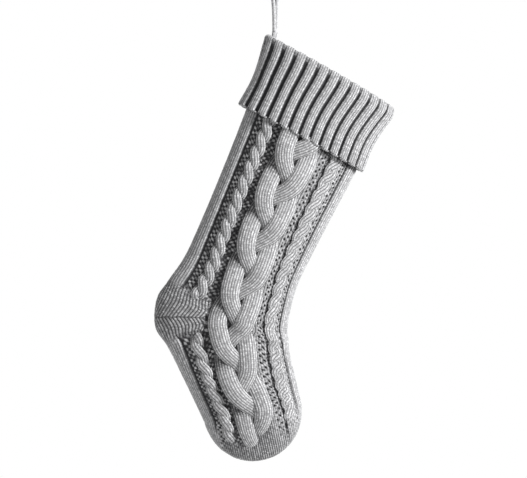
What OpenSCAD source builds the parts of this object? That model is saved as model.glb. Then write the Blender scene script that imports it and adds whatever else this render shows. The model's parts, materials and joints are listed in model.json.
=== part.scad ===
// Hanging knitted stocking with a turned-down ribbed cuff and a cord loop.
// The origin is the seat of the loop, where a hook carries it. +Z is up, +X runs from the heel side
// to the toe side, and -Y is the front. Lengths are in millimetres.
// The fabric is laid out flat first: "u" runs across the leg from its back edge, and "v" runs down the leg,
// both from the pivot where the loop is tacked in. The hang angle then tilts that layout, as the stocking hangs.

/* [Hanging] */
// Angle of the leg from vertical when the stocking hangs free
hang_angle = 26; // [22:0.5:30]
// Height of the loop, from the tacked root to the seat of the hook
loop_height = 72; // [64:1:95]
// Diameter of the loop cord
cord_d = 4.2; // [3.4:0.1:4.4]
// Inner width of the loop where it bends over the hook
bend_w = 12.6; // [11:0.2:15]
// Diameter of the wound thread that tacks the loop into the cuff
tack_d = 6.4; // [5.6:0.1:6.6]

/* [Fabric] */
// Thickness of the leg and foot fabric
wall = 3; // [2.4:0.1:3.6]
// Half of the leg's depth, front to back
half_depth = 23; // [20:0.5:25]
// Roundness of the cross section: 2 is an ellipse, and more is fuller at the edges
fullness = 2.3; // [2.1:0.1:2.6]

/* [Cuff] */
// Thickness of the cuff fabric at a rib
rib_wall = 4; // [3:0.1:4.2]
// Depth of the furrow between two ribs
rib_depth = 1.4; // [0.8:0.1:1.8]
// Ribs on each face of the cuff
ribs_per_face = 13; // [10:1:14]
// Half of the cuff's depth, front to back
cuff_half_depth = 29; // [29:0.5:31]

/* [Toe] */
// Radius of the round toe, seen from the front
toe_r = 52.3; // [50:0.1:54]
// Angle round the toe at which the plain toe cap starts
toe_cap_angle = 21; // [15:1:30]

/* [Hidden] */
yarn_grey = [0.62, 0.62, 0.63];
thread_grey = [0.52, 0.52, 0.54];

// ---- Layout plane to row frame ----
// A layout point [u, v, depth] becomes [x, y, z]; depth is positive towards the front.
function place(p) = [
    p[0] * cos(hang_angle) - p[1] * sin(hang_angle),
    -p[2],
    -loop_height - p[0] * sin(hang_angle) - p[1] * cos(hang_angle)
];

// ---- Sections ----
// A section is [back edge, middle, front edge, half depth], with the three points as [u, v]. A row of knitting
// runs through the three points, so it bends where the ankle turns.
toe_centre = [157.6, 377.6];
toe_axis = [0.61, 0.79];
toe_across = [toe_axis[1], -toe_axis[0]];
leg_keys = [
    [[8.5, 76], [76, 82], [143, 89], half_depth],               // joined to the cuff
    [[12.8, 126], [77, 127], [142, 128], half_depth],           // upper leg
    [[16.5, 178], [79, 178], [140.3, 178], half_depth],         // middle of the leg
    [[19.2, 232], [84, 229.5], [139.7, 228], half_depth],       // lower leg
    [[19.3, 262], [89, 260], [143, 253], half_depth + 0.5],     // ankle
    [[14.5, 292], [92, 290], [150, 279], half_depth + 1],       // top of the heel
    [[12.3, 314], [94, 298], [157, 291], half_depth + 1],       // back of the heel
    [[24, 341], [96, 304], [162, 300], half_depth + 1],         // turn of the heel
    [[47, 355], [99, 311], [167, 307], half_depth],             // end of the heel
    [[75.5, 377], [113, 333.5], [178.5, 321], half_depth - 1],  // arch
    [[94, 391.5], [131, 354], [191.3, 336.5], half_depth - 1.5],  // ball of the foot
    [toe_centre - toe_r * toe_across, toe_centre, toe_centre + toe_r * toe_across, half_depth - 2]
];
toe_key = len(leg_keys) - 1;
heel_top = 5;
heel_end = 8;
cuff_keys = [
    [[-7.5, 4.5], [73, 10.5], [147, 15], cuff_half_depth - 3],      // crest of the fold
    [[-7.8, 9], [73, 13.5], [152, 19.5], cuff_half_depth - 1.5],    // shoulder of the fold
    [[-6.2, 17], [73, 21], [153.6, 29], cuff_half_depth - 0.5],     // just below the fold
    [[-3, 34], [73, 38], [151, 43], cuff_half_depth],               // upper cuff
    [[0.3, 60], [73, 64], [148, 67], cuff_half_depth],              // lower cuff
    [[-0.2, 86.5], [74, 90], [149.2, 94], cuff_half_depth]          // lower edge
];
cuff_key = len(cuff_keys) - 1;

// Catmull-Rom value of one column of the keys at parameter s.
function spline(keys, c, s) =
    let (last = len(keys) - 1, i = min(floor(s), last - 1), f = s - i,
         a = keys[max(i - 1, 0)][c], b = keys[i][c], d = keys[i + 1][c], e = keys[min(i + 2, last)][c])
    0.5 * (2 * b + (d - a) * f + (2 * a - 5 * b + 4 * d - e) * f * f + (3 * b - a - 3 * d + e) * f * f * f);
function key_section(keys, s) = [for (c = [0:3]) spline(keys, c, s)];

// Slice of the round toe, from angle 0 at its start to 90 at its tip.
function toe_slice(angle) = [
    toe_centre + toe_r * (toe_axis * sin(angle) - toe_across * cos(angle)),
    toe_centre + toe_r * toe_axis * sin(angle),
    toe_centre + toe_r * (toe_axis * sin(angle) + toe_across * cos(angle)),
    leg_keys[toe_key][3] * pow(cos(angle), 0.85)
];
function leg_section(s) = s > toe_key ? toe_slice(90 * (s - toe_key)) : key_section(leg_keys, s);

// One point of a section's outline. turn is 0 at the back edge, 90 on the front face, 180 at the front edge
// and 270 on the back face.
function signed_power(x, e) = sign(x) * pow(abs(x), e);
function outline(sec, turn) =
    let (across = signed_power(cos(turn), 2 / fullness), out = signed_power(sin(turn), 2 / fullness),
         t = (1 - across) / 2,
         uv = sec[0] * (2 * t - 1) * (t - 1) + sec[1] * 4 * t * (1 - t) + sec[2] * t * (2 * t - 1))
    [uv[0], uv[1], sec[3] * out];

// Unit normal from two neighbours along the leg and two round it.
function unit(v) = v / norm(v);
function normal(above, below, before, after) = unit(cross(after - before, below - above));
function leg_normal(s, turn) = normal(
    outline(leg_section(max(s - 0.04, 0)), turn),
    outline(leg_section(min(s + 0.04, toe_key + 0.99)), turn),
    outline(leg_section(s), turn - 0.6),
    outline(leg_section(s), turn + 0.6)
);
function cuff_normal(s, turn) = normal(
    outline(key_section(cuff_keys, max(s - 0.04, 0)), turn),
    outline(key_section(cuff_keys, min(s + 0.04, cuff_key)), turn),
    outline(key_section(cuff_keys, s), turn - 0.6),
    outline(key_section(cuff_keys, s), turn + 0.6)
);

// ---- Leg and foot: one grid of fabric, shared out between the knitted pieces ----
seam_turn = 1;      // half the turn that an edge seam takes
step_turn = 7.5;    // turn between two columns of the grid
heel_turn = 82.5;   // turn at which the heel ends on each face
half_turns = concat([seam_turn], [for (a = [step_turn:step_turn:180 - step_turn]) a], [180 - seam_turn]);
half_n = len(half_turns);
turns = concat(half_turns, [for (a = half_turns) a + 180]);
turn_n = len(turns);
heel_columns = heel_turn / step_turn;
join_s = 0.035;
toe_cap_s = toe_key + toe_cap_angle / 90;
stations = concat(
    [0, join_s],
    [for (s = [0.25:0.25:toe_key]) s],
    [toe_key + toe_cap_angle / 180, toe_cap_s],
    [for (k = [1:7]) toe_cap_s + (toe_key + 0.97 - toe_cap_s) * k / 7]
);
station_n = len(stations);
join_row = 1;
heel_row = 1 + heel_top * 4;
foot_row = 1 + heel_end * 4;
toe_row = 3 + toe_key * 4;

outer_points = [for (s = stations) let (sec = leg_section(s)) [for (a = turns) outline(sec, a)]];
inner_points = [for (i = [0:station_n - 1]) [for (j = [0:turn_n - 1])
    outer_points[i][j] - wall * leg_normal(stations[i], turns[j])]];

// The piece that owns the cell between grid rows i and i + 1 and columns j and j + 1.
function in_heel(i, j) = i >= heel_row && i < foot_row && (j < heel_columns || j > turn_n - 2 - heel_columns);
function owner(i, j) =
    i < join_row ? "cuff_join"
    : i >= toe_row ? "toe_cap"
    : in_heel(i, j) ? "heel_cup"
    : j == turn_n - 1 ? (i < heel_row ? "back_seam" : "sole_seam")
    : j == half_n - 1 ? "front_seam"
    : j < half_n - 1 ? "front_panel" : "back_panel";

// Closed solid over the cells that one piece owns, walled in wherever a neighbouring cell belongs to another.
module fabric(name) {
    rows = station_n - 1;
    layer = station_n * turn_n;
    function id(i, j) = i * turn_n + (j + turn_n) % turn_n;
    function owned(i, j) = i >= 0 && i < rows && owner(i, (j + turn_n) % turn_n) == name;
    cells = [for (i = [0:rows - 1]) for (j = [0:turn_n - 1]) if (owned(i, j)) [i, j]];
    skins = [for (c = cells) let (a = id(c[0], c[1]), b = id(c[0], c[1] + 1), d = id(c[0] + 1, c[1] + 1),
                                  e = id(c[0] + 1, c[1]))
        each [[a, b, d, e], [layer + e, layer + d, layer + b, layer + a]]];
    // A wall is split along the same diagonal from both sides, so that neighbouring pieces meet face to face.
    function wall(a, b) = a < b
        ? [[b, a, layer + b], [a, layer + a, layer + b]]
        : [[b, a, layer + a], [b, layer + a, layer + b]];
    edges = [for (c = cells) let (i = c[0], j = c[1]) each [
        if (!owned(i - 1, j)) [id(i, j), id(i, j + 1)],
        if (!owned(i + 1, j) && i + 1 < rows) [id(i + 1, j + 1), id(i + 1, j)],
        if (!owned(i, j - 1)) [id(i + 1, j), id(i, j)],
        if (!owned(i, j + 1)) [id(i, j + 1), id(i + 1, j + 1)]
    ]];
    // The tip of the toe closes on one point in each layer.
    tip = toe_centre + toe_r * toe_axis;
    tip_inside = tip - wall * toe_axis;
    cap = name != "toe_cap" ? [] : [for (j = [0:turn_n - 1]) each [
        [2 * layer, id(rows, j), id(rows, j + 1)],
        [2 * layer + 1, layer + id(rows, j + 1), layer + id(rows, j)]
    ]];
    color(yarn_grey)
        polyhedron(
            points = [for (p = concat(
                [for (row = outer_points) each row],
                [for (row = inner_points) each row],
                [[tip[0], tip[1], 0], [tip_inside[0], tip_inside[1], 0]]
            )) place(p)],
            faces = concat(skins, [for (e = edges) each wall(e[0], e[1])], cap)
        );
}

// ---- Cuff: a folded band, swept round the leg ----
// The band's profile runs up the outer ply, over the fold and down the inner ply to the join, then back up.
ply_gap = 0.5;
inner_top = rib_wall + ply_gap;
inner_back = inner_top + rib_wall;
rib_steps = 4;
cuff_columns = rib_steps * ribs_per_face;
function even_turn(k) =
    let (x = 1 - 2 * k / cuff_columns, r = pow(abs(x), fullness / 2))
    k == 0 ? seam_turn : k == cuff_columns ? 180 - seam_turn : acos(sign(x) * r);
cuff_half_turns = [for (k = [0:cuff_columns]) even_turn(k)];
cuff_turns = concat(cuff_half_turns, [for (a = cuff_half_turns) a + 180]);
cuff_turn_n = len(cuff_turns);

// Offset of the rib surface from the crests, by column: furrows fall between the ribs.
function furrow(j) = rib_depth * (1 - cos(360 * (j % (cuff_columns + 1)) / rib_steps)) / 2;

// A profile point is [s, offset inwards from the rib crests, 1 where the ribs show].
profile = concat(
    [for (k = [5:-0.5:1]) [k, 0, 1]],
    [[0.5, 0.5, 1], [0.15, 1.8, 0.8], [0, 3.6, 0.4], [0, inner_back - 3, 0], [0.3, inner_back - 1.2, 0]],
    [[1, inner_back, 0], [2, inner_back + 0.1, 0], [3, inner_back + 0.5, 0], [4, inner_back + 0.8, 0]]
);
profile_return = concat(
    [[4, inner_top + 1.2, 0], [3, inner_top + 0.5, 0], [2, inner_top, 0], [1, inner_top, 0]],
    [[0.75, inner_top - ply_gap / 2, 0]],
    [for (k = [1:5]) [k, rib_wall, 0]]
);
function cuff_point(p, j) =
    let (turn = cuff_turns[j], base = outline(key_section(cuff_keys, p[0]), turn))
    base - (p[1] + p[2] * furrow(j)) * cuff_normal(max(p[0], 1), turn);
function cuff_ring(j) = concat(
    [for (p = profile) cuff_point(p, j)],
    [outline(leg_section(0), cuff_turns[j]) - wall * leg_normal(0, cuff_turns[j])],
    [outline(leg_section(0), cuff_turns[j])],
    [for (p = profile_return) cuff_point(p, j)]
);

// Solid through a run of profile rings; closed = true joins the last ring back to the first.
module ring_solid(rings) {
    n = len(rings[0]);
    m = len(rings);
    sides = [for (j = [0:m - 2]) for (k = [0:n - 1])
        [j * n + k, j * n + (k + 1) % n, (j + 1) * n + (k + 1) % n, (j + 1) * n + k]];
    color(yarn_grey)
        polyhedron(
            points = [for (ring = rings) for (p = ring) place(p)],
            faces = concat([[for (k = [n - 1:-1:0]) k]], sides, [[for (k = [0:n - 1]) (m - 1) * n + k]])
        );
}

module ribbed_cuff() {
    ring_solid([for (j = [0:cuff_turn_n - 1]) cuff_ring(j)]);
}
module cuff_side_seam() {
    ring_solid([cuff_ring(cuff_turn_n - 1), cuff_ring(0)]);
}

module cuff_join() { fabric("cuff_join"); }
module front_panel() { fabric("front_panel"); }
module back_panel() { fabric("back_panel"); }
module back_seam() { fabric("back_seam"); }
module front_seam() { fabric("front_seam"); }
module sole_seam() { fabric("sole_seam"); }
module heel_cup() { fabric("heel_cup"); }
module toe_cap() { fabric("toe_cap"); }

// ---- Loop ----
cord_sides = 8;
running_gap = 0.3;
twist_gap = 0.8;        // wider, as the cord's ends are not quite level there
bend_r = (bend_w + cord_d) / 2;
bend_z = cord_d / 2 - bend_r;   // centre of the bend over the hook
bend_past = 18;                 // angle that the bend runs on past level on each side
twist_z = -34;          // the loop twists below this height
root_z = -loop_height;
root_spread_x = 0.9;    // the two strands lie one behind the other at the root
root_spread_y = 1.85;

// Centreline of one strand, with side = 1 or -1. f runs from 0 at the root to 1 where the bend starts, and the
// power makes the strand meet the bend in line with it.
strand_end_x = bend_r * cos(bend_past);
strand_end_z = bend_z - bend_r * sin(bend_past);
opening = tan(bend_past) * (strand_end_z - root_z) / (strand_end_x - root_spread_x);
function strand(side, f) = [
    side * (root_spread_x + (strand_end_x - root_spread_x) * pow(f, opening)),
    side * root_spread_y * pow(1 - f, 1.5),
    root_z + (strand_end_z - root_z) * f
];
function strand_f(z) = (z - root_z) / (strand_end_z - root_z);

// Tube of the cord's diameter along a list of points; every ring lies square to the path.
function tangent(path, i) =
    unit(path[min(i + 1, len(path) - 1)] - path[max(i - 1, 0)]);
module cord(path) {
    m = len(path);
    n = cord_sides;
    r = cord_d / 2;
    points = [for (i = [0:m - 1])
        let (t = tangent(path, i), a = unit(cross([0, 1, 0], t)), b = cross(t, a))
        for (k = [0:n - 1]) path[i] + r * (a * cos(360 * (k + 0.5) / n) + b * sin(360 * (k + 0.5) / n))];
    sides = [for (i = [0:m - 2]) for (k = [0:n - 1])
        [i * n + k, (i + 1) * n + k, (i + 1) * n + (k + 1) % n, i * n + (k + 1) % n]];
    color(yarn_grey)
        polyhedron(points = points,
            faces = concat([[for (k = [0:n - 1]) k]], sides, [[for (k = [n - 1:-1:0]) (m - 1) * n + k]]));
}

module loop_bight() {
    f0 = strand_f(twist_z + twist_gap);
    cord(concat(
        [for (k = [0:4]) strand(-1, f0 + (1 - f0) * k / 4)],
        [for (a = [0:18:180]) [-bend_r * cos(a), 0, bend_z + bend_r * sin(a)]],
        [for (k = [4:-1:0]) strand(1, f0 + (1 - f0) * k / 4)]
    ));
}
module loop_strands() {
    f0 = strand_f(root_z + tack_d / 2 + running_gap);
    f1 = strand_f(twist_z);
    for (side = [-1, 1])
        cord([for (k = [0:4]) strand(side, f0 + (f1 - f0) * k / 4)]);
}
module tack_stitches() {
    color(thread_grey)
        translate([0, 0, root_z])
            sphere(d = tack_d, $fn = 24);
}
// The cord's two ends lie side by side down the inside of the cuff's back edge.
module loop_tails() {
    start_v = tack_d / 2 + running_gap + 0.6;
    for (side = [-1, 1])
        cord([for (p = [[1.9, start_v], [2.3, 12], [3.6, 20], [5.4, 30]])
            place([p[0] + 0.2, p[1], side * (cord_d / 2 - 0.1)])]);
}

loop_bight();
loop_strands();
tack_stitches();
loop_tails();
ribbed_cuff();
cuff_side_seam();
cuff_join();
front_panel();
back_panel();
back_seam();
front_seam();
sole_seam();
heel_cup();
toe_cap();
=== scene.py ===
"""Looks of the hanging knitted stocking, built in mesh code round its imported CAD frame.

Lengths in this script are millimetres until a mesh is made. The fabric is laid out as in the
part: u runs across the leg from its back edge, v runs down the leg, and depth comes towards the
viewer, all from the loop's pivot. A sleeve's own coordinates are s, its row, and c, the distance
round it from the back edge over the front face. The leg's pattern is placed by q, the distance
down the middle of the face, and p, the share of the way across it.
"""

import json
import math

import bmesh
import bpy
import numpy as np
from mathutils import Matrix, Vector
from mathutils.bvhtree import BVHTree


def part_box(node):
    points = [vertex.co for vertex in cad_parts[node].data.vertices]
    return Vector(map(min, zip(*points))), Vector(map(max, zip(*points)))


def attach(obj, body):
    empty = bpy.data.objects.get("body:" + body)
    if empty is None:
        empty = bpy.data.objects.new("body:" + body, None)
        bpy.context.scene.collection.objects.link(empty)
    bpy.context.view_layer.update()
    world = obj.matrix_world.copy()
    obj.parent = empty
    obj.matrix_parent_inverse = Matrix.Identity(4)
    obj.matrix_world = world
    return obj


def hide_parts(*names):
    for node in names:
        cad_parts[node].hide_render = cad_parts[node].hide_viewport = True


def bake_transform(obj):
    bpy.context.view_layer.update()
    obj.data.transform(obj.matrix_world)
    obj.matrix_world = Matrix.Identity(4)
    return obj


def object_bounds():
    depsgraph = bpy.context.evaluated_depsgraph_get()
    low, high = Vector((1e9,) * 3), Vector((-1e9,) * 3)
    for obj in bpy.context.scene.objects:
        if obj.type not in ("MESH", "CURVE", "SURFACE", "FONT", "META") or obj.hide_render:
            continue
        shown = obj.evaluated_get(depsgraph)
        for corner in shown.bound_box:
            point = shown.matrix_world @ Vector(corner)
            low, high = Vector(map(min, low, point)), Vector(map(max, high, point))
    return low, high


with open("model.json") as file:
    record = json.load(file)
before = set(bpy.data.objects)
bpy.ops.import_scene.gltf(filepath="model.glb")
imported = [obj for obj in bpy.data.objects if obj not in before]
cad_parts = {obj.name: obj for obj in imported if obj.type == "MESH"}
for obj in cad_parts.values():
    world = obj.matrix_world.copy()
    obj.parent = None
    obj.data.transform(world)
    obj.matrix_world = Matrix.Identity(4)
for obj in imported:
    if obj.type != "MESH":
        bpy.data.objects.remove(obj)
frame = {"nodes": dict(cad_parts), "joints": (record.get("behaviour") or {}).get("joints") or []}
cad_lo, cad_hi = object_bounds()

MM = 0.001

# ---- Places from the frame ----
joints = {j["name"]: j for j in frame["joints"]}
pivot = np.array(joints["swing_sideways"]["pos_m"]) / MM

HANG_ANGLE = math.radians(26)   # the leg's lean, as in the part
ACROSS = np.array([math.cos(HANG_ANGLE), 0, -math.sin(HANG_ANGLE)])
ALONG = np.array([-math.sin(HANG_ANGLE), 0, -math.cos(HANG_ANGLE)])
FRONT = np.array([0, -1, 0])

# ---- Camera: the photograph's level view from the front, with a long lens ----
VIEW_WIDTH = 566.5              # seen across the picture at the stocking
VIEW_CENTRE = (-12.4, -294.5)   # x and z at the middle of the picture
LENS = 180
SENSOR = 36

camera_data = bpy.data.cameras.new("camera")
camera_data.lens = LENS
camera_data.sensor_width = SENSOR
camera = bpy.data.objects.new("camera", camera_data)
camera.location = (VIEW_CENTRE[0] * MM, -VIEW_WIDTH * MM * LENS / SENSOR, VIEW_CENTRE[1] * MM)
camera.rotation_euler = (math.pi / 2, 0, 0)
bpy.context.scene.collection.objects.link(camera)
bpy.context.scene.camera = camera


# ---- Small helpers ----
def unit(v):
    """Vectors of length 1."""
    return v / np.maximum(np.linalg.norm(v, axis=-1, keepdims=True), 1e-9)


def run_along(points):
    """Distance of each point along a line of points."""
    return np.concatenate([[0], np.cumsum(np.linalg.norm(np.diff(points, axis=0), axis=1))])


def smooth(x, start, end):
    """0 before start, 1 after end, and a soft step between."""
    f = np.clip((x - start) / (end - start), 0, 1)
    return f * f * (3 - 2 * f)


def dip(x, centre, width):
    """Bell of height 1 at centre."""
    return np.exp(-(((x - centre) / width) ** 2))


def place(u, v, depth):
    """Points of the frame from arrays of layout coordinates."""
    return pivot + u[..., None] * ACROSS + v[..., None] * ALONG + depth[..., None] * FRONT


def layout_point(u, v, depth=0.0):
    """One point of the frame from its layout coordinates."""
    return place(np.array(float(u)), np.array(float(v)), np.array(float(depth)))


def make_object(name, points, faces, painted_shade, material, body):
    """Mesh object from points in millimetres, riding on its body.

    cavity is each point's painted shade: 0 on the yarn and 1 deep between it.
    """
    mesh = bpy.data.meshes.new(name)
    mesh.from_pydata((points * MM).tolist(), [], faces)
    edited = bmesh.new()
    edited.from_mesh(mesh)
    bmesh.ops.recalc_face_normals(edited, faces=edited.faces)
    edited.to_mesh(mesh)
    edited.free()
    mesh.shade_smooth()
    layer = mesh.attributes.new("painted_shade", "FLOAT", "POINT")
    layer.data.foreach_set("value", np.clip(painted_shade, 0, 1).astype(np.float32))
    mesh.materials.append(material)
    obj = bpy.data.objects.new(name, mesh)
    bpy.context.scene.collection.objects.link(obj)
    if body:
        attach(obj, body)
    return obj


def grid_faces(ids):
    """Quads of a grid of vertex numbers."""
    corners = ids[:-1, :-1], ids[:-1, 1:], ids[1:, 1:], ids[1:, :-1]
    return np.stack(corners, -1).reshape(-1, 4).tolist()


STRIDE = 6      # the inner skin of a shell has one vertex for this many of the outer skin


def shell_mesh(outer, inner, wrap, tips=None):
    """Points and faces of a closed shell: a fine outer skin, a coarse inner one, and edge walls.

    wrap joins the last column to the first, and tips are the outer and inner points that close
    the last row.
    """
    rows, cols = outer.shape[:2]
    coarse = inner[::STRIDE, ::STRIDE]
    fine_ids = np.arange(rows * cols).reshape(rows, cols)
    thin_rows, thin_cols = coarse.shape[:2]
    coarse_ids = rows * cols + np.arange(thin_rows * thin_cols).reshape(thin_rows, thin_cols)
    if wrap:
        fine_ids = np.hstack([fine_ids, fine_ids[:, :1]])
        coarse_ids = np.hstack([coarse_ids, coarse_ids[:, :1]])
    faces = grid_faces(fine_ids) + grid_faces(coarse_ids)

    def wall(fine, thin):
        """Faces that join an edge of the outer skin to the same edge of the inner skin."""
        for k in range(len(thin) - 1):
            run = list(fine[k * STRIDE:(k + 1) * STRIDE + 1]) + [thin[k + 1], thin[k]]
            faces.append([int(i) for i in run])

    wall(fine_ids[0], coarse_ids[0])
    if not wrap:
        wall(fine_ids[:, 0], coarse_ids[:, 0])
        wall(fine_ids[:, -1], coarse_ids[:, -1])
    points = [outer.reshape(-1, 3), coarse.reshape(-1, 3)]
    if tips is None:
        wall(fine_ids[-1], coarse_ids[-1])
    else:
        top = rows * cols + thin_rows * thin_cols
        points.append(np.array(tips))
        fine, thin = fine_ids[-1], coarse_ids[-1]
        faces += [[top, int(fine[k + 1]), int(fine[k])] for k in range(len(fine) - 1)]
        faces += [[top + 1, int(thin[k]), int(thin[k + 1])] for k in range(len(thin) - 1)]
    return np.vstack(points), faces


def tube_mesh(rings):
    """Points and faces of a closed tube through rings of points."""
    rows, cols = rings.shape[:2]
    ids = np.arange(rows * cols).reshape(rows, cols)
    faces = grid_faces(np.hstack([ids, ids[:, :1]])) + [ids[0].tolist(), ids[-1].tolist()]
    return rings.reshape(-1, 3), faces


# ---- Materials: heathered yarn, with painted shade ----
def yarn(name, colour, shadow, fibre=1.0):
    """Knitting yarn: mottled grey with short fibres, and the colour shadow deep between stitches.

    fibre is how much its fibres stand out.
    """
    material = bpy.data.materials.new(name)
    material.use_nodes = True
    nodes, links = material.node_tree.nodes, material.node_tree.links
    shader = nodes["Principled BSDF"]
    shader.inputs["Roughness"].default_value = 0.9
    shader.inputs["Specular IOR Level"].default_value = 0.25
    shader.inputs["Sheen Weight"].default_value = 0.25
    shader.inputs["Sheen Roughness"].default_value = 0.5

    coordinates = nodes.new("ShaderNodeTexCoord")

    def noise(scale, detail):
        texture = nodes.new("ShaderNodeTexNoise")
        texture.inputs["Scale"].default_value = scale
        texture.inputs["Detail"].default_value = detail
        links.new(coordinates.outputs["Object"], texture.inputs["Vector"])
        return texture.outputs["Fac"]

    def ramp(value, low, dark, high, light):
        """Colours that run from dark, at the value low, to light, at the value high."""
        node = nodes.new("ShaderNodeValToRGB")
        for element, position, shade in zip(node.color_ramp.elements, (low, high), (dark, light)):
            element.position = position
            element.color = (*shade, 1)
        links.new(value, node.inputs["Fac"])
        return node.outputs["Color"]

    dark = [x * 0.66 for x in colour]
    light = [min(1, x * 1.22) for x in colour]
    heather = ramp(noise(620, 3), 0.34, dark, 0.66, light)
    cloud = ramp(noise(28, 2), 0.3, (0.93, 0.93, 0.93), 0.7, (1, 1, 1))
    tint = nodes.new("ShaderNodeMix")
    tint.data_type = "RGBA"
    tint.blend_type = "MULTIPLY"
    tint.inputs["Factor"].default_value = 1
    links.new(heather, tint.inputs["A"])
    links.new(cloud, tint.inputs["B"])

    # Painted shade: the point attribute mixes the colour shadow into the yarn, deep between stitches.
    depth = nodes.new("ShaderNodeAttribute")
    depth.attribute_name = "painted_shade"
    deep = nodes.new("ShaderNodeMix")
    deep.data_type = "RGBA"
    deep.inputs["B"].default_value = (*shadow, 1)
    links.new(depth.outputs["Fac"], deep.inputs["Factor"])
    links.new(tint.outputs["Result"], deep.inputs["A"])
    links.new(deep.outputs["Result"], shader.inputs["Base Color"])

    bump = nodes.new("ShaderNodeBump")
    bump.inputs["Strength"].default_value = 0.55 * fibre
    bump.inputs["Distance"].default_value = 0.0004
    links.new(noise(1900, 2), bump.inputs["Height"])
    links.new(bump.outputs["Normal"], shader.inputs["Normal"])
    return material


# The second colour of each yarn is its painted shade, deep between stitches.
leg_yarn = yarn("leg_yarn", (0.70, 0.70, 0.71), (0.030, 0.030, 0.032))
cuff_yarn = yarn("cuff_yarn", (0.68, 0.68, 0.69), (0.030, 0.030, 0.032))
cord_yarn = yarn("cord_yarn", (0.50, 0.50, 0.51), (0.05, 0.05, 0.05), fibre=0.7)
thread = yarn("thread", (0.52, 0.52, 0.53), (0.08, 0.08, 0.08), fibre=0.7)

# ---- Stitches ----
WALE = 2.7          # width of one column of knit stitches
COURSE = 2.0        # height of one row of stitches
STITCH = 0.7        # height of a knit stitch's yarn over the gaps
FINE = 0.52         # mesh spacing where stitches show
KNIT_SHADE = 0.92   # painted shade in the gaps between knit stitches


def knit(a, b):
    """Knit stitches, 0 in the gaps to 1 on the yarn: a V at each wale a and course b."""
    x = np.abs(a - np.round(a))
    wale = np.cos(math.pi * x) ** 1.3 * (1 - 0.25 * dip(x, 0, 0.09))
    course = b - 1.1 * x
    return wale * (0.82 + 0.18 * np.cos(2 * math.pi * course)) * (0.5 + 0.5 * uneven(a, course))


def uneven(a, b):
    """A number from 0 to 1 that is the same all over one stitch and differs from the next one."""
    x = np.sin(np.round(a) * 12.9898 + np.round(b) * 78.233) * 43758.5453
    return x - np.floor(x)


def moss(a, b):
    """Moss stitch: a chequer of raised bumps, 0 to 1."""
    bump = np.clip(0.62 + 0.75 * np.cos(math.pi * a) * np.cos(math.pi * b), 0, 1)
    return bump * (0.5 + 0.5 * uneven(a, b))


# ---- Sleeves ----
REACH = 300     # rays start this far out
FULLNESS = 2.3  # of the cross section: 2 is an ellipse


def tree_of(names):
    """Ray-cast tree of CAD nodes, in millimetres."""
    points, faces = [], []
    for name in names:
        mesh = frame["nodes"][name].data
        start = len(points)
        points += [v.co / MM for v in mesh.vertices]
        faces += [[start + i for i in p.vertices] for p in mesh.polygons]
    return BVHTree.FromPolygons(points, faces)


def edge_distance(tree, u, v, direction):
    """Distance from a layout point at mid-depth to the outside of the fabric."""
    start = layout_point(u, v) + REACH * direction
    hit = tree.ray_cast(Vector(start), Vector(-direction))
    if hit[0] is None:
        raise ValueError(f"no fabric beside the layout point {u}, {v}")
    return REACH - hit[3]


def layout_direction(degrees):
    a = math.radians(degrees)
    return math.cos(a) * ACROSS + math.sin(a) * ALONG


def measured_rows(tree, rows):
    """Rows as [back edge, middle, front edge, half depth], found on the CAD.

    Each starts from a middle and the directions from it to the back and the front edge.
    """
    found = []
    for u, v, back, front in rows:
        ends = []
        for angle in (back, front):
            d = edge_distance(tree, u, v, layout_direction(angle))
            turn = math.radians(angle)
            ends.append((u + d * math.cos(turn), v + d * math.sin(turn)))
        found.append([*ends[0], u, v, *ends[1], edge_distance(tree, u, v, FRONT)])
    return np.array(found)


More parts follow.
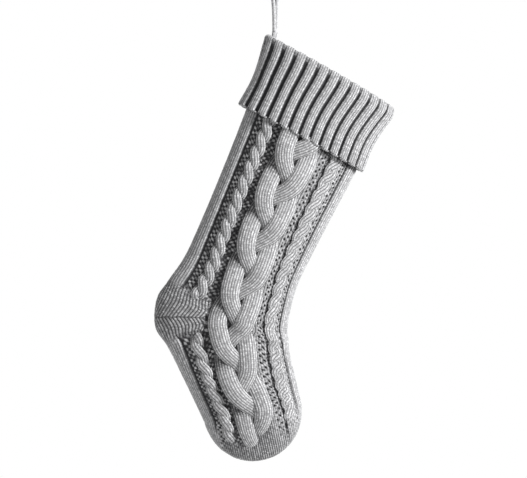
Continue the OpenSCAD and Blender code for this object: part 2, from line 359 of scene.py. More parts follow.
class Sleeve:
    """A tube of fabric through rows, with a superellipse round it."""

    def __init__(self, rows, toe=None):
        """toe is the centre, the direction and the radius of a round end, for the leg."""
        self.rows = rows
        self.last = len(rows) - 1
        self.toe = toe
        middle = rows[len(rows) // 4]
        self.half_width = np.hypot(*(middle[4:6] - middle[0:2])) / 2
        turn = np.linspace(0, math.pi, 2001)
        across = np.sign(np.cos(turn)) * np.abs(np.cos(turn)) ** (2 / FULLNESS)
        out = np.sin(turn) ** (2 / FULLNESS)
        steps = np.hypot(np.diff(self.half_width * across), np.diff(middle[6] * out))
        self.c_table = np.concatenate([[0], np.cumsum(steps)])
        self.t_table = (1 - across) / 2
        self.face = self.c_table[-1]        # distance over one face, from edge to edge
        s_fine = np.arange(0, self.last + 0.001, 0.01)
        line = self.section(s_fine)[:, 2:4]
        self.q_table = np.concatenate([[0], np.cumsum(np.hypot(*np.diff(line, axis=0).T))])
        self.s_table = s_fine
        self.length = self.q_table[-1]

    def section(self, s):
        """The row at s, on a smooth curve through the rows."""
        s = np.asarray(s, float)
        i = np.clip(np.floor(s), 0, self.last - 1).astype(int)
        f = (np.clip(s, 0, self.last) - i)[..., None]
        k = self.rows
        a, b, d, e = k[np.maximum(i - 1, 0)], k[i], k[i + 1], k[np.minimum(i + 2, self.last)]
        row = 0.5 * (2 * b + (d - a) * f + (2 * a - 5 * b + 4 * d - e) * f**2
                     + (3 * b - a - 3 * d + e) * f**3)
        if self.toe is None:
            return row
        angle = np.clip(s - self.last, 0, 0.9999)[..., None] * math.pi / 2
        centre, axis, radius = self.toe
        start = self.rows[self.last]
        side = (start[4:6] - start[0:2]) / 2 * np.cos(angle)
        middle = centre + radius * axis * np.sin(angle)
        depth = start[6] * np.cos(angle) ** 0.85
        round_end = np.concatenate([middle - side, middle, middle + side, depth], -1)
        return np.where(angle > 0, round_end, row)

    def around(self, c):
        """Share of the way across the layout, and 1 on the front face or -1 on the back."""
        wrapped = np.mod(c, 2 * self.face)
        back = wrapped > self.face
        over_front = np.where(back, 2 * self.face - wrapped, wrapped)
        return np.interp(over_front, self.c_table, self.t_table), np.where(back, -1.0, 1.0)

    def girth(self, t, side):
        """Distance round the sleeve of a point t across its front (side 1) or back (side -1)."""
        c = np.interp(t, self.t_table, self.c_table)
        return c if side > 0 else 2 * self.face - c

    def layout(self, s, c):
        """Layout coordinates of the point at s and c."""
        t, side = self.around(c)
        row = self.section(s)
        u, v = (row[..., k] * (2 * t - 1) * (t - 1) + row[..., k + 2] * 4 * t * (1 - t)
                + row[..., k + 4] * t * (2 * t - 1) for k in (0, 1))
        out = np.clip(1 - np.abs(1 - 2 * t) ** FULLNESS, 0, 1) ** (1 / FULLNESS)
        return u, v, row[..., 6] * side * out

    def point(self, s, c):
        return place(*self.layout(s, c))

    def from_back_edge(self, c):
        """Distance round the sleeve from the back edge, the same on both faces."""
        wrapped = np.mod(c, 2 * self.face)
        return np.minimum(wrapped, 2 * self.face - wrapped)

    def unrolled(self, s, c):
        """Layout point of the fabric, were its rounded back edge pressed flat."""
        row = self.section(s)[:, None]
        back, middle = row[..., 0:2], row[..., 2:4]
        d = self.from_back_edge(c)[None, :, None] - (self.face / 2 - self.half_width)
        return np.moveaxis(back + d * unit(middle - back), -1, 0)

    def frame(self, s, c):
        """Point, outward normal and downward direction."""
        top = self.last + (0.995 if self.toe else 0)
        above, below = np.maximum(s - 0.02, 0), np.minimum(s + 0.02, top)
        down = unit(self.point(below, c) - self.point(above, c))
        turn = unit(self.point(s, c + 0.5) - self.point(s, c - 0.5))
        return self.point(s, c), unit(np.cross(down, turn)), down

    def s_at(self, q):
        """Row at a distance q along the middle of the face."""
        if self.toe is None:
            return np.interp(q, self.q_table, self.s_table)
        beyond = np.clip((q - self.length) / self.toe[2], 0, 0.9999)
        return np.where(q <= self.length, np.interp(q, self.q_table, self.s_table),
                        self.last + np.arcsin(beyond) * 2 / math.pi)

    def q_at(self, s):
        """Distance along the middle of the face to row s."""
        q = np.interp(s, self.s_table, self.q_table)
        if self.toe is None:
            return q
        return q + self.toe[2] * np.sin(np.clip(s - self.last, 0, 1) * math.pi / 2)


LEG_NODES = ["front_panel", "back_panel", "heel_cup", "toe_cap", "cuff_join",
             "back_seam", "front_seam", "sole_seam"]
# Rows of knitting: a middle point (u, v), and the directions from it to the back and the front
# edge, in degrees.
LEG_ROWS = [
    (76, 83, 185, 6),           # inside the cuff
    (77, 127, 181, 1),          # upper leg
    (79, 178, 180, 0),          # middle of the leg
    (84, 229.5, 178, -1.5),     # lower leg
    (89, 260, 178, -7.5),       # ankle
    (92, 290, 178.5, -10.5),    # top of the heel
    (94, 298, 169, -6.5),       # back of the heel
    (96, 304, 153, -3.5),       # turn of the heel
    (99, 311, 140, -3.5),       # end of the heel
    (113, 333.5, 131, -11),     # arch
    (131, 354, 134.5, -16),     # ball of the foot
    (157.6, 377.6, 142.3, -37.7),   # start of the round toe
]
TOE_ANGLE = 52.3    # direction of the foot, in the layout
HEEL_TOP, HEEL_END = 5, 8

leg_tree = tree_of(LEG_NODES)
leg_rows = measured_rows(leg_tree, LEG_ROWS)
toe_centre = leg_rows[-1][2:4]
toe_axis = np.array([math.cos(math.radians(TOE_ANGLE)), math.sin(math.radians(TOE_ANGLE))])
toe_radius = edge_distance(leg_tree, *toe_centre, layout_direction(TOE_ANGLE))
leg = Sleeve(leg_rows, (toe_centre, toe_axis, toe_radius))

CUFF_ROWS = [
    (73, 14.5, 183, 4.5),       # shoulder of the fold
    (73, 21, 183, 5.5),         # just below the fold
    (73, 38, 183, 4),           # upper cuff
    (73, 64, 183, 2.5),         # lower cuff
    (74, 88.5, 182.5, 3),       # lower edge
]
cuff = Sleeve(measured_rows(tree_of(["ribbed_cuff", "cuff_side_seam"]), CUFF_ROWS))

# ---- Pattern of the leg ----
# Edges of the pattern's columns, as shares of the way across the face, on the leg and on the foot.
#              edge groove  moss   rope   moss   plait  moss   wave  rope    moss   groove edge
LEG_COLUMNS = [0.0, 0.093, 0.153, 0.268, 0.312, 0.698, 0.753, 0.785, 0.873, 0.926, 1.0]
FOOT_COLUMNS = [0.0, 0.100, 0.160, 0.270, 0.312, 0.710, 0.795, 0.825, 0.930, 0.952, 1.0]
PATTERN_WIDTH = 126         # of the face, as the cables measure it
PLAIT_CENTRE = 0.510
ROPE_CENTRES = (0.2105, 0.829)
FADE_START, FADE_END = 9, 46    # the pattern fades out this far past the start of the round toe
COVER_EDGE = 9              # the cuff presses on the cables down to here from the top of the leg


def columns_at(s):
    """Edges of the pattern's columns at row s."""
    f = smooth(s, HEEL_TOP, HEEL_END + 1)
    return np.array(LEG_COLUMNS) * (1 - f) + np.array(FOOT_COLUMNS) * f


def pattern_share(s, t):
    """Pattern column coordinate of each point of a grid with rows s and shares t across."""
    angle = np.clip(s - leg.last, 0, 1) * math.pi / 2
    flat = 0.5 + (t[None, :] - 0.5) * np.cos(angle)[:, None]
    return np.array([np.interp(flat[i], columns_at(s[i]), LEG_COLUMNS) for i in range(len(s))])


def share_across(s, p):
    """Share across the face of a pattern coordinate at each row."""
    flat = np.array([np.interp(p[i], LEG_COLUMNS, columns_at(s[i])) for i in range(len(s))])
    return 0.5 + (flat - 0.5) / np.cos(np.clip(s - leg.last, 0, 0.9) * math.pi / 2)


def level(p, steps):
    """Value by pattern coordinate, from (coordinate, value) steps."""
    return np.interp(p, [x for x, _ in steps], [h for _, h in steps])


# The heel's wales run down the leg, turn at the mitre line and run on along the foot.
MITRE_POINT = (52, 316)
FOOT_ANGLE = 38.3
MITRE_ANGLE = (90 + FOOT_ANGLE + 180) / 2 - 180


def heel_stitches(u, v):
    """Knit stitches of the heel at layout points."""
    m, n = math.radians(MITRE_ANGLE), math.radians(FOOT_ANGLE)
    du, dv = u - MITRE_POINT[0], v - MITRE_POINT[1]
    below = dv * math.cos(m) - du * math.sin(m)
    foot_a = du * math.sin(n) - dv * math.cos(n)
    foot_b = du * math.cos(n) + dv * math.sin(n)
    a = np.where(below > 0, foot_a, du) / WALE
    b = np.where(below > 0, foot_b, dv) / COURSE
    return knit(a, b) * (1 - 0.5 * dip(below, 0, 0.9))


# Height of the ground in millimetres, across the face: border, groove, moss, rope, moss, plait,
# eyelets, wave, rope, groove and border.
GROUND = [
    (0.070, 0.8), (0.080, 0.4), (0.0860, -2.8), (0.0995, -2.8), (0.106, -2.3), (0.148, -2.2),
    (0.158, -1.7), (0.262, -1.7), (0.270, -2.5), (0.330, -2.7), (0.400, -1.8), (0.600, -1.6),
    (0.670, -0.4), (0.750, -0.5), (0.790, -0.3), (0.870, -0.3), (0.878, -0.5), (0.918, -0.5),
    (0.9225, -2.6), (0.9285, -2.6), (0.934, 0.3), (0.948, 0.8),
]
# Share of moss stitch, with knit for the rest, across the face.
MOSSY = [
    (0.099, 0), (0.103, 1), (0.152, 1), (0.156, 0.4), (0.264, 0.4), (0.268, 1), (0.340, 1),
    (0.345, 0), (0.695, 0), (0.700, 0.4), (0.915, 0.4), (0.921, 0),
]
# Columns of eyelets: place across the face, half width, side of the ripple, and phase.
EYELETS = [(0.716, 0.007, 1, 0), (0.737, 0.007, -1, 0), (0.905, 0.006, 1, 1), (0.886, 0.006, -1, 1)]
EYELET_DEPTH = 2.3
WAVE_PLACE, WAVE_HALF = 0.769, 0.0125   # the wavy groove between the plait and the front rope
MOSS = 1.15             # height of a moss bump
DEEP_SHADE = 0.24       # painted shade for each millimetre of depth
ROPE_PITCH = 32.4


def leg_relief(s, c):
    """Height over the base surface and painted shade, for a grid with rows s and distances c."""
    t, _ = leg.around(c)
    p = pattern_share(s, t)
    q = leg.q_at(s)[:, None]
    taper = np.cos(np.clip(s - leg.last, 0, 1) * math.pi / 2)
    wales = taper[:, None] * (leg.from_back_edge(c) - leg.face / 2)[None, :] / WALE
    courses = q / COURSE
    plain = knit(wales, courses)
    moss_a = 0.85 * wales + 0.3 * np.sin(0.9 * courses)
    moss_b = 0.8 * courses + 0.3 * np.sin(1.3 * wales)
    bumps = moss(moss_a, moss_b)

    # The patterned fabric; its grooves fade out before they reach the toe's outline.
    at_edge = (1 - smooth(p, 0.10, 0.14)) + smooth(p, 0.88, 0.92)
    ground = level(p, GROUND) * (1 - at_edge * smooth(q - leg.length, -4, 16))
    mossy = level(p, MOSSY)
    stitches = plain * STITCH * (1 - mossy) + bumps * MOSS * mossy
    ripple = 2 * math.pi * q / ROPE_PITCH
    wave = dip(p, WAVE_PLACE + 0.005 * np.sin(ripple), WAVE_HALF) * (2.7 + 0.9 * np.cos(4 * ripple))
    eyelets = EYELET_DEPTH * sum(
        dip(p, at, half) * np.clip(side * np.cos(4 * ripple + phase), 0, 1) ** 2
        for at, half, side, phase in EYELETS)
    patterned = ground + stitches - wave - eyelets
    # Painted shade: depth darkens the grooves, the eyelets and the low ground, and gaps the spaces
    # between stitches.
    depth = -np.minimum(ground, 0) * (1 - 0.5 * bumps * mossy) + wave + eyelets
    gaps = 1 - bumps * mossy - plain * (1 - mossy)

    # The toe is plain, with a little more painted shade all over, as it curves away from the light.
    faded = smooth(q - leg.length, FADE_START, FADE_END)
    height = patterned * (1 - faded) + (plain * STITCH + 0.3) * faded
    depth = depth * (1 - faded)
    gaps = gaps * (1 - faded) + (1.2 - plain) * faded

    # The heel is plain too, with a ragged edge and deeper painted shade between its stitches.
    ragged = 0.12 * (uneven(wales, courses) - 0.5)
    heel = smooth(s[:, None] + ragged, HEEL_TOP - 0.35, HEEL_TOP + 0.1)
    heel = heel * (1 - smooth(s[:, None] + ragged, HEEL_END - 0.45, HEEL_END))
    heel_edge = 0.300 - 0.06 * dip(s, HEEL_END, 1)[:, None]
    heel = heel * (1 - smooth(p + 0.3 * ragged, heel_edge, 0.345))
    turned = heel_stitches(*leg.unrolled(s, c))
    height = height * (1 - heel) + (turned * STITCH + 0.5) * heel
    depth = depth * (1 - heel)
    gaps = gaps * (1 - heel) + 1.25 * (1 - turned) * heel

    # Painted shadow on the leg just below the cuff's lower edge.
    painted_cuff_shadow = 0.45 * (1 - smooth(q, COVER_EDGE - 3, COVER_EDGE + 3))
    return height, KNIT_SHADE * gaps + DEEP_SHADE * depth + painted_cuff_shadow


def fit_count(length, step, closed=False):
    """Number of grid steps near length / step that the inner skin's stride divides."""
    n = max(STRIDE, int(round(length / step / STRIDE)) * STRIDE)
    return n if closed else n + 1


FABRIC = 3.0        # thickness of the leg's fabric


def leg_patch(name, s, c0, c1, node, step=FINE, relief=leg_relief, hung=None, tips=False):
    """Closed shell of the leg's fabric over rows s, from c0 to c1 round it, in place of a CAD node.

    A full turn closes on itself. hung is not used, and tips closes the toe.
    """
    wrap = math.isclose(c1 - c0, 2 * leg.face)
    n = fit_count(c1 - c0, step, wrap)
    c = np.linspace(c0, c1, n, endpoint=not wrap)
    base, normal, _ = leg.frame(s[:, None], c[None, :])
    height, painted_shade = relief(s, c)
    outer = base + normal * height[..., None]
    inner = base - normal * FABRIC
    ends = None
    if tips:
        tip = toe_centre + toe_axis * toe_radius
        ends = [layout_point(*(tip + toe_axis * out)) for out in (0.5, -FABRIC)]
    points, faces = shell_mesh(outer, inner, wrap, ends)
    # The inner skin and the walls get a middling painted shade.
    padding = np.full(len(points) - painted_shade.size, 0.5)
    shade = np.concatenate([painted_shade.ravel(), padding])
    obj = make_object(name, points, faces, shade, leg_yarn, "stocking")
    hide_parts(node)


def rows_between(q0, q1, step=FINE):
    """Rows from distance q0 to q1 down the leg."""
    return leg.s_at(np.linspace(q0, q1, fit_count(q1 - q0, step)))


# ---- Cables: strands that lie on the leg ----
PLAIT_PITCH = 159       # length of one strand's wave
PLAIT_SWING = 14.0
PLAIT_HUG = 1.5         # how long a strand keeps to one edge of the plait before it crosses
PLAIT_START = 5         # of the pattern, above the top of the leg
PLAIT_HALF = 10.4
PLAIT_TOP = 5.8
PLAIT_WEAVE = 3.4       # a strand rises this far to pass over, and sinks this far to pass under
WEAVE_IN = 24           # the weave grows to its full height over this length below the cuff
PLAIT_BED, ROPE_BED = 1.2, 0.6          # how deep a strand's middle lies in the fabric
PLAIT_UNDER, PLAIT_FLANK = 0.32, 0.55   # painted shade on a strand below another, and at its flanks
PLAIT_POINTS, ROPE_POINTS = 52, 26      # points of mesh over a strand's crown
ROPE_SWING = 3.1
ROPE_HALF = 4.7
UNDERSIDE = 1.6         # depth of a strand below its middle
STRAND_POWER = 2 / 2.2  # of its cross section: 1 is an ellipse


def superpower(x, e):
    """Power of the size of x, with the sign of x."""
    return np.sign(x) * np.abs(x) ** e


def strand(name, q, p, lift, half, top, under, beside, side, around, node):
    """One knitted strand over the leg, at distances q down it and pattern coordinates p.

    lift, half and top are its height, half width and crown there. under is how deep in shadow it
    passes below another strand, and beside is the same for its flanks towards the back edge and
    the front edge. side is 1 on the front face and -1 on the back.
    """
    s = leg.s_at(q)
    t = np.clip(share_across(s, p), 0.01, 0.99)
    c = leg.girth(t, side)
    base, normal, _ = leg.frame(s, c)
    centre = base + normal * lift[:, None]
    # Each ring is square to the strand: x across it and z out of the fabric.
    along = unit(np.gradient(centre, axis=0))
    across = unit(np.cross(along, normal)) * side
    rise = unit(np.cross(across, along)) * side
    phi = np.concatenate([np.linspace(0, math.pi, around, endpoint=False),
                          np.linspace(math.pi, 2 * math.pi, around // 4, endpoint=False)])
    x = half[:, None] * superpower(np.cos(phi), STRAND_POWER)
    z = np.where(np.sin(phi) > 0, top[:, None], UNDERSIDE) * superpower(np.sin(phi), STRAND_POWER)
    # Wales run along the strand, evenly spaced round its mean cross section.
    mean_x, mean_z = x.mean(0), z.mean(0)
    arc = np.concatenate([[0], np.cumsum(np.hypot(np.diff(mean_x), np.diff(mean_z)))])
    middle = np.interp(math.pi / 2, phi, arc)
    run = run_along(centre)
    stitches = knit((arc - middle)[None, :] / WALE + 0.5, run[:, None] / COURSE)
    nx, nz = np.cos(phi) / half[:, None], np.sin(phi) / top[:, None]
    size = np.hypot(nx, nz)
    x = x + STITCH * stitches * nx / size
    z = z + STITCH * stitches * nz / size
    rings = centre[:, None] + x[..., None] * across[:, None] + z[..., None] * rise[:, None]
    # Painted shade between the strand's stitches, along its flanks, and where it passes below another
    # strand.
    flank = 1 - smooth(np.sin(phi), 0.0, 0.55)
    flank_shade = flank * np.where(np.cos(phi) > 0, beside[1][:, None], beside[0][:, None])
    painted_shade = KNIT_SHADE * (1 - stitches) + flank_shade + under[:, None]
    points, faces = tube_mesh(rings)
    obj = make_object(name, points, faces, painted_shade.ravel(), leg_yarn, "stocking")
    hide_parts(node)


def plait(name, side, node):
    """Three strands that cross by turns down the middle of the face."""
    end = leg.length + FADE_END - 2
    q = np.linspace(3, end, int(end / FINE))
    fade = smooth(q - leg.length, FADE_START - 16, FADE_END)
    # The strands are pressed in by the cuff's edge, and sink into the toe.
    sunk = 4 * (1 - smooth(q, 2, COVER_EDGE)) + 4 * fade
    for k in range(3):
        turn = 2 * math.pi * ((q + PLAIT_START) / PLAIT_PITCH + k / 3)
        swing = PLAIT_SWING * np.tanh(PLAIT_HUG * np.sin(turn)) / math.tanh(PLAIT_HUG)
        half = PLAIT_HALF / (1 + np.gradient(swing, q) ** 2) ** 0.2 * (1 - 0.35 * fade)
        lift = -PLAIT_WEAVE * np.sin(2 * turn) * smooth(q, 0, WEAVE_IN) - PLAIT_BED - sunk
        # Painted shadow where a strand passes below another, and painted shade at its flanks; both
        # lighten where it swings towards the front edge, the side the light falls from.
        crossed = smooth(np.sin(2 * turn), 0.1, 1) * (1 - smooth(swing, 0, 8))
        under = PLAIT_UNDER * crossed * (1 - fade)
        flank = PLAIT_FLANK * (1 - fade)
        beside = (flank, flank * (1 - smooth(swing, 0, 9)))
        strand(f"{name}_plait_{k + 1}", q, PLAIT_CENTRE + swing / PATTERN_WIDTH, lift, half,
               PLAIT_TOP * (1 - 0.8 * fade), under, beside, side, PLAIT_POINTS, node)


def rope(name, side, node, centre, hand, q0, q1, half=ROPE_HALF, top=2.8, weave=1.5,
         shadow=0.35, edge=0.5):
    """Two strands that twist round each other from q0 to q1; hand is 1 or -1.

    weave is how far each rises and sinks, shadow the painted shadow where it passes below the
    other, and edge the painted shade along its flanks.
    """
    q = np.linspace(q0, q1, int((q1 - q0) / FINE))
    fade = smooth(q - leg.length, FADE_START - 6, FADE_END - 8)
    # Sunk like the plait, and at both ends of the rope as well.
    sunk = 3 * (1 - smooth(q, 2, COVER_EDGE)) + 5 * fade
    sunk = sunk + 3 * (1 - smooth(q, q0, q0 + 5)) + 3 * smooth(q, q1 - 5, q1)
    for k in range(2):
        turn = 2 * math.pi * q / ROPE_PITCH + math.pi * k
        swing = hand * ROPE_SWING * np.sin(turn)
        width = half * (0.84 + 0.16 * np.cos(turn))
        lift = weave * np.cos(turn) - ROPE_BED - sunk
        under = shadow * smooth(-np.cos(turn), 0.1, 1)
        flank = np.full(len(q), edge)
        strand(f"{name}_{k + 1}", q, centre + swing / PATTERN_WIDTH, lift, width,
               np.full(len(q), top), under, (flank, flank), side, ROPE_POINTS, node)


# ---- Leg, foot, heel and toe ----
SEAM_HALF = 1.3     # half the width that a seam's chain covers
PLAIN_EDGE = 0.365  # the heel and the side strips end here, under the plait
FRONT_EDGE = 0.665  # the front strip starts here
GROUND_STEP = 1.5   # mesh spacing under the plait, where little shows
toe_start = leg.length + 4      # the toe cap starts here
q_heel, q_foot = leg.q_at(HEEL_TOP), leg.q_at(HEEL_END)


def span(side, t0, t1, edge0=0.0, edge1=0.0):
    """Distances round the sleeve, in rising order, of a strip of one face."""
    return sorted((float(leg.girth(t0, side)) + side * edge0,
                   float(leg.girth(t1, side)) - side * edge1))


for side, face in ((1, "front"), (-1, "back")):
    node = f"{face}_panel"
    leg_patch(f"{face}_back_strip", rows_between(0, q_heel), *span(side, 0, PLAIN_EDGE, SEAM_HALF),
              node, hung=["cuff_join"])
    leg_patch(f"{face}_sole_strip", rows_between(q_foot, toe_start),
              *span(side, 0, PLAIN_EDGE, SEAM_HALF), node, hung=["cuff_join"])
    leg_patch(f"{face}_ground", rows_between(0, toe_start, GROUND_STEP),
              *span(side, PLAIN_EDGE, FRONT_EDGE), node, step=GROUND_STEP, hung=["cuff_join"])
    leg_patch(f"{face}_front_strip", rows_between(0, toe_start),
              *span(side, FRONT_EDGE, 1, 0, SEAM_HALF), node, hung=["cuff_join"])
    plait(face, side, node)
    cable_end = leg.length + FADE_END - 6
    back_centre, front_centre = ROPE_CENTRES
    rope(f"{face}_leg_rope", side, node, back_centre, 1, 2, q_heel + 2)
    rope(f"{face}_foot_rope", side, node, back_centre, 1, q_foot - 2, cable_end)
    rope(f"{face}_front_rope", side, node, front_centre, -1, 2, cable_end,
         half=4.4, top=1.0, weave=0.5, shadow=0.05, edge=0.1)

HEEL_STEPS = fit_count(92, 0.55)    # from the length round the heel's back edge
heel_reach = float(leg.girth(PLAIN_EDGE, 1))
leg_patch("heel", leg.s_at(np.linspace(q_heel, q_foot, HEEL_STEPS)), -heel_reach, heel_reach,
          "heel_cup", hung=["back_seam"])

TOE_STEP = 0.6
TOE_STEPS = fit_count(78, TOE_STEP)     # from the length round the toe
TOE_LAST = 0.985        # share of the round toe covered by rows; its tip closes the rest
toe_rows = np.linspace(leg.s_at(toe_start), leg.last + TOE_LAST, TOE_STEPS)
leg_patch("toe", toe_rows, 0, 2 * leg.face, "toe_cap", step=TOE_STEP, hung=["sole_seam"],
          tips=True)


# ---- Seams: chains of yarn along the edges ----
SEAM_STRIP = 1.9        # half the width of a seam's own strip
LINK = COURSE * 1.5     # length of one chain stitch


def chain_relief(s, c):
    """A ridge of chain stitches along the strip's middle."""
    middle = (c[0] + c[-1]) / 2
    x = (c - middle)[None, :] / WALE
    link = knit(x, leg.q_at(s)[:, None] / LINK)
    crown = np.clip(1 - (np.abs(x) / 0.75) ** 2, 0, 1)
    # Painted shade between the chain's stitches.
    return 0.7 * crown + 0.5 * link, 0.45 * (1 - link)


def join_relief(s, c):
    """A row of chain stitches round the top of the leg."""
    link = knit(leg.q_at(s)[:, None] / WALE, c[None, :] / LINK)
    # Painted shade between the chain's stitches.
    return 0.3 + 0.6 * link, 0.45 * (1 - link)


leg_patch("back_seam_chain", rows_between(0, q_heel), -SEAM_STRIP, SEAM_STRIP, "back_seam",
          relief=chain_relief)
leg_patch("sole_seam_chain", rows_between(q_foot, toe_start), -SEAM_STRIP, SEAM_STRIP, "sole_seam",
          relief=chain_relief)
leg_patch("front_seam_chain", rows_between(0, toe_start), leg.face - SEAM_STRIP,
          leg.face + SEAM_STRIP, "front_seam", relief=chain_relief)
leg_patch("cuff_join_chain", rows_between(0, 3), 0, 2 * leg.face, "cuff_join", step=0.8,
          relief=join_relief)

# ---- Cuff ----
RIBS = 13
VALLEY_DEPTH = 3.3
PLY = 4.2           # thickness of one ply at a rib
FOLD_R = 4.3        # radius of the fold at the top
INNER_PLY = 2 * FOLD_R
LIP_R = PLY / 2
FLARE = 1.8         # the lower edge stands this far off, over the cables
INNER_END = 3.6     # row where the inner ply is joined to the leg
FOLD_RINGS = 25     # rings of mesh over the fold
INNER_RINGS = 43    # and down the inner ply
FOLD_WEIGHT = 0.3   # share of the ribs' relief that shows where the fabric is stretched over the fold
RIB_SWAY = 0.0035   # the ribs wander by this share of the face
RIB_BEND = 0.015    # and bend by this much towards the lower edge, most at the back edge


def valley(k):
    """Place of a valley between two ribs, as a share of the way round one face."""
    return 0.094 + 0.0731 * (k - 1) + 0.024 * math.sin(math.pi * (k - 1) / (RIBS - 2))


def rib_relief(c, run, weight):
    """Height and painted shade of the ribs, at distances c round the cuff and run along the fabric.

    weight is the share of the valleys' depth that each row of the fabric shows.
    """
    share = np.where(c > cuff.face, 2 * cuff.face - c, c) / cuff.face
    valleys = [valley(k) for k in range(RIBS + 1)]
    edges = np.array([-valleys[0], *valleys, 2 - valleys[-1]])
    sway = RIB_SWAY * np.sin(run / 13.0)[:, None] * np.sin(math.pi * share)[None, :]
    bend = smooth(run, 0.45 * cuff.length, cuff.length)
    sway = sway - RIB_BEND * bend[:, None] * (1 - 0.6 * share)[None, :]
    place_in = np.interp(share[None, :] + sway, edges, np.arange(len(edges)))
    x = place_in - np.floor(place_in)
    solid = 0.68 + 0.21 * share     # a rib's share of its own width; the rest is valley
    across = (2 * x - 1) / solid
    crown = np.sqrt(np.clip(1 - np.abs(across) ** 3, 0, 1))
    stitches = knit(2 * across - 0.5, run[:, None] / COURSE)
    height = (VALLEY_DEPTH * (crown - 1) + STITCH * stitches * crown) * weight[:, None]
    # Painted shade in the valleys between ribs, less over the fold.
    valley_shade = 0.9 * (1 - smooth(crown, 0.1, 0.7)) * weight[:, None]
    return height, KNIT_SHADE * (1 - stitches) + valley_shade


def seam_relief(c, run, weight):
    """Height and painted shade of the sewn edge that closes the cuff."""
    x = (c - (c[0] + c[-1]) / 2)[None, :] / 3.2
    link = knit(x, run[:, None] / (COURSE * 1.4))
    # Painted shade between the seam's stitches.
    return (0.8 * np.clip(1 - x**2, 0, 1) - 0.9 + 0.5 * link) * weight[:, None], 0.5 * (1 - link)


def cuff_band(name, c0, c1, relief, node):
    """The folded band between two places round the cuff.

    Its profile runs up the outer ply, over the fold, down the inner ply and back between the
    plies, and closes round the lower lip.
    """
    c = np.linspace(c0, c1, max(9, int((c1 - c0) / FINE)))
    rings, normals, weights = [], [], []

    def add(s, inwards, lift, turn, weight):
        """One ring at row s, inwards from the ribs' crests and lifted up the fabric.

        turn is how far its normal has turned over the fold, and weight its share of the relief.
        """
        at = np.full(len(c), float(s))
        base, normal, down = cuff.frame(at, c)
        flare = FLARE * float(smooth(np.array(float(s)), 2.2, cuff.last))
        rings.append(base + normal * (flare - inwards) - down * lift)
        normals.append(normal * math.cos(turn) - down * math.sin(turn))
        weights.append(weight)

    outer_n = int(cuff.length / FINE)
    for s in cuff.s_at(np.linspace(cuff.length, 0, outer_n)):
        add(s, 0, 0, 0, FOLD_WEIGHT + (1 - FOLD_WEIGHT) * float(smooth(cuff.q_at(s), 0, 9)))
    for turn in np.linspace(0, math.pi, FOLD_RINGS + 1)[1:]:
        add(0, FOLD_R * (1 - math.cos(turn)), FOLD_R * math.sin(turn), turn, FOLD_WEIGHT)
    for s in np.linspace(0, INNER_END, INNER_RINGS + 1)[1:]:
        add(s, INNER_PLY, 0, math.pi, FOLD_WEIGHT * (1 - s / INNER_END))
    for s in np.linspace(INNER_END, 0.1, 6):
        add(s, PLY + 0.5, 0, 0, 0)
    add(0, PLY + 0.25, 0.4, 0, 0)
    for s in np.linspace(0.1, cuff.last, 8):
        add(s, PLY, 0, 0, 0)
    for turn in np.linspace(math.pi, 0, 9)[1:-1]:
        add(cuff.last, LIP_R * (1 - math.cos(turn)), -LIP_R * math.sin(turn), -turn,
            0.5 * (1 + math.cos(turn)))

    rings, normals, weights = np.array(rings), np.array(normals), np.array(weights)
    run = run_along(rings[:, len(c) // 2])
    height, painted_shade = relief(c, run, weights)
    surface = rings + normals * height[..., None]
    points, faces = tube_mesh(np.swapaxes(surface, 0, 1))
    shade = np.swapaxes(painted_shade, 0, 1).ravel()
    obj = make_object(name, points, faces, shade, cuff_yarn, "stocking")
    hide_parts(node)


CUFF_SEAM_HALF = 1.6    # half the gap that the side seam closes
CUFF_SEAM_STRIP = 2.4   # half the width of the side seam's own strip
cuff_band("cuff_front", CUFF_SEAM_HALF, cuff.face, rib_relief, "ribbed_cuff")
cuff_band("cuff_back", cuff.face, 2 * cuff.face - CUFF_SEAM_HALF, rib_relief, "ribbed_cuff")
cuff_band("cuff_seam_chain", -CUFF_SEAM_STRIP, CUFF_SEAM_STRIP, seam_relief, "cuff_side_seam")

# ---- Loop ----
CORD_D = 4.2
BEND_R = 8.4            # centreline radius over the hook: two diameters
BEND_PAST = math.radians(18)    # the cord goes on bending this far past level
ROOT_SPREAD_X, ROOT_SPREAD_Y = 0.9, 2.05    # how far each side lies from the pivot at the root
bend_z = CORD_D / 2 - BEND_R
strand_end_x = BEND_R * math.cos(BEND_PAST)
strand_end_z = bend_z - BEND_R * math.sin(BEND_PAST)
opening = math.tan(BEND_PAST) * (strand_end_z - pivot[2]) / (strand_end_x - ROOT_SPREAD_X)


def loop_strand(side, f):
    """Centreline of one side of the loop; f runs from 0 at the root to 1 where the bend starts."""
    return np.array([
        side * (ROOT_SPREAD_X + (strand_end_x - ROOT_SPREAD_X) * f**opening),
        side * ROOT_SPREAD_Y * (1 - f) ** 1.5,
        pivot[2] + (strand_end_z - pivot[2]) * f,
    ])


CORD_WALES = 5          # columns of stitches round the cord
CORD_COURSE = 1.9
CORD_STEP = 0.4         # mesh spacing along it
ROUND_END = 1.8         # length over which its cut ends are rounded off


def rounded_ends(at, length):
    """Share of a cord's radius at distances along it."""
    from_end = np.minimum(at, length - at)
    x = np.clip(1 - from_end / ROUND_END, 0, 1)
    return np.sqrt(1 - 0.75 * x**2)


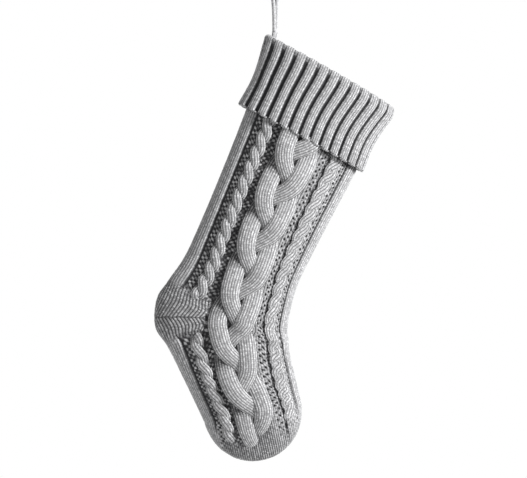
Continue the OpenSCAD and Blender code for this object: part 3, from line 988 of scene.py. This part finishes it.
def cord_mesh(path):
    """Points, faces, painted shade, centreline and length of a knitted cord along a path."""
    path = np.array(path)
    run = run_along(path)
    at = np.linspace(0, run[-1], int(run[-1] / CORD_STEP))
    line = np.stack([np.interp(at, run, path[:, k]) for k in range(3)], -1)
    for _ in range(6):
        line[1:-1] = (line[:-2] + 2 * line[1:-1] + line[2:]) / 4
    tangent = unit(np.gradient(line, axis=0))
    a = unit(np.cross(np.array([0, 1.0, 0]), tangent))
    b = np.cross(tangent, a)
    phi = np.linspace(0, 2 * math.pi, 36, endpoint=False)
    stitches = knit(phi[None, :] / (2 * math.pi) * CORD_WALES, at[:, None] / CORD_COURSE)
    r = (CORD_D / 2 - 0.12 + 0.3 * stitches) * rounded_ends(at, run[-1])[:, None]
    outwards = a[:, None] * np.cos(phi)[:, None] + b[:, None] * np.sin(phi)[:, None]
    points, faces = tube_mesh(line[:, None] + r[..., None] * outwards)
    # Painted shade between the cord's stitches.
    return points, faces, (0.5 * (1 - stitches)).ravel(), line, run[-1]


root_side = [loop_strand(-1, f) for f in np.linspace(0, 1, 12)]
far_side = [loop_strand(1, f) for f in np.linspace(1, 0, 12)]
bend = [np.array([-BEND_R * math.cos(a), 0, bend_z + BEND_R * math.sin(a)])
        for a in np.linspace(0, math.pi, 11)]
points, faces, shade, line, cord_length = cord_mesh([*root_side, *bend, *far_side])
loop = make_object("hanging_loop", points, faces, shade, cord_yarn, None)
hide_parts("loop_bight", "loop_strands")
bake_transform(loop)

# ---- Tails: the cord's two ends, down the inside of the cuff's back edge ----
# Layout points (u, v) down the cuff, and how far aside each tail lies there.
TAIL_ROUTE = [(0.3, 1.0, -0.9), (1.6, 5.0, -0.9), (2.4, 12.0, 0), (3.7, 20.0, 0), (5.4, 30.0, 0)]
for side, name in ((-1, "back"), (1, "front")):
    depth = side * (CORD_D / 2 - 0.1)
    route = [layout_point(u + side * aside, v, depth) for u, v, aside in TAIL_ROUTE]
    points, faces, shade, _, _ = cord_mesh(route)
    tail = make_object(f"loop_tail_{name}", points, faces, shade, cord_yarn, "stocking")
    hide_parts("loop_tails")

# ---- Tack stitches: thread wound round the root of the loop ----
THREAD_TURNS = 7
POLE_GAP = 0.12         # angle left open at each end of the winding
tack_lo, tack_hi = (np.array(x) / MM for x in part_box("tack_stitches"))
tack_r = (tack_hi - tack_lo)[2] / 2
polar = np.linspace(POLE_GAP, math.pi - POLE_GAP, 60)[:, None]
around = np.linspace(0, 2 * math.pi, 72, endpoint=False)[None, :]
winding = np.abs(np.cos(polar * THREAD_TURNS + around / 2))
radius = tack_r - 0.25 + 0.4 * winding
direction = np.stack([np.sin(polar) * np.cos(around), np.sin(polar) * np.sin(around),
                      np.cos(polar) + 0 * around], -1)
points, faces = tube_mesh(pivot + radius[..., None] * direction)
# Painted shade between the thread's turns.
shade = (0.5 * (1 - winding)).ravel()
tack = make_object("tack_winding", points, faces, shade, thread, "tack")
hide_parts("tack_stitches")

# ---- Studio ----
FLOOR_DROP = 0.75       # metres from the toe down to the floor
FLOOR_HALF = 4.0        # metres from its middle to each edge
floor_mesh = bpy.data.meshes.new("floor")
corners = [(x * FLOOR_HALF, y * FLOOR_HALF, cad_lo.z - FLOOR_DROP)
           for x, y in ((-1, -1), (1, -1), (1, 1), (-1, 1))]
floor_mesh.from_pydata(corners, [], [(0, 1, 2, 3)])
floor = bpy.data.objects.new("floor", floor_mesh)
bpy.context.scene.collection.objects.link(floor)
pale = bpy.data.materials.new("pale_floor")
pale.use_nodes = True
pale_shader = pale.node_tree.nodes["Principled BSDF"]
pale_shader.inputs["Base Color"].default_value = (0.85, 0.85, 0.85, 1)
pale_shader.inputs["Roughness"].default_value = 0.8
floor_mesh.materials.append(pale)

world = bpy.data.worlds.new("studio")
bpy.context.scene.world = world
world.use_nodes = True
world_nodes, world_links = world.node_tree.nodes, world.node_tree.links
ambient = world_nodes["Background"]
ambient.inputs["Color"].default_value = (1, 1, 1, 1)
ambient.inputs["Strength"].default_value = 0.21
backdrop = world_nodes.new("ShaderNodeBackground")
backdrop.inputs["Color"].default_value = (1, 1, 1, 1)
backdrop.inputs["Strength"].default_value = 1.0
ray = world_nodes.new("ShaderNodeLightPath")
choose = world_nodes.new("ShaderNodeMixShader")
world_links.new(ray.outputs["Is Camera Ray"], choose.inputs["Fac"])
world_links.new(ambient.outputs["Background"], choose.inputs[1])
world_links.new(backdrop.outputs["Background"], choose.inputs[2])
world_links.new(choose.outputs["Shader"], world_nodes["World Output"].inputs["Surface"])


def area_light(name, offset, size, power):
    """Square soft light, offset in metres from the middle of the stocking and turned towards it."""
    data = bpy.data.lights.new(name, "AREA")
    data.size = size
    data.energy = power
    lamp = bpy.data.objects.new(name, data)
    middle = (cad_lo + cad_hi) / 2
    lamp.location = middle + Vector(offset)
    lamp.rotation_euler = (-Vector(offset)).to_track_quat("-Z", "Y").to_euler()
    bpy.context.scene.collection.objects.link(lamp)


area_light("key_light", (2.1, -1.3, 1.15), 0.5, 168)
area_light("fill_light", (-1.6, -2.2, 0.3), 1.6, 8)
area_light("side_light", (-2.4, -0.2, 0.4), 1.6, 14)
area_light("back_light", (0.6, 2.4, 1.2), 1.6, 45)
bpy.context.scene.view_settings.view_transform = "Standard"
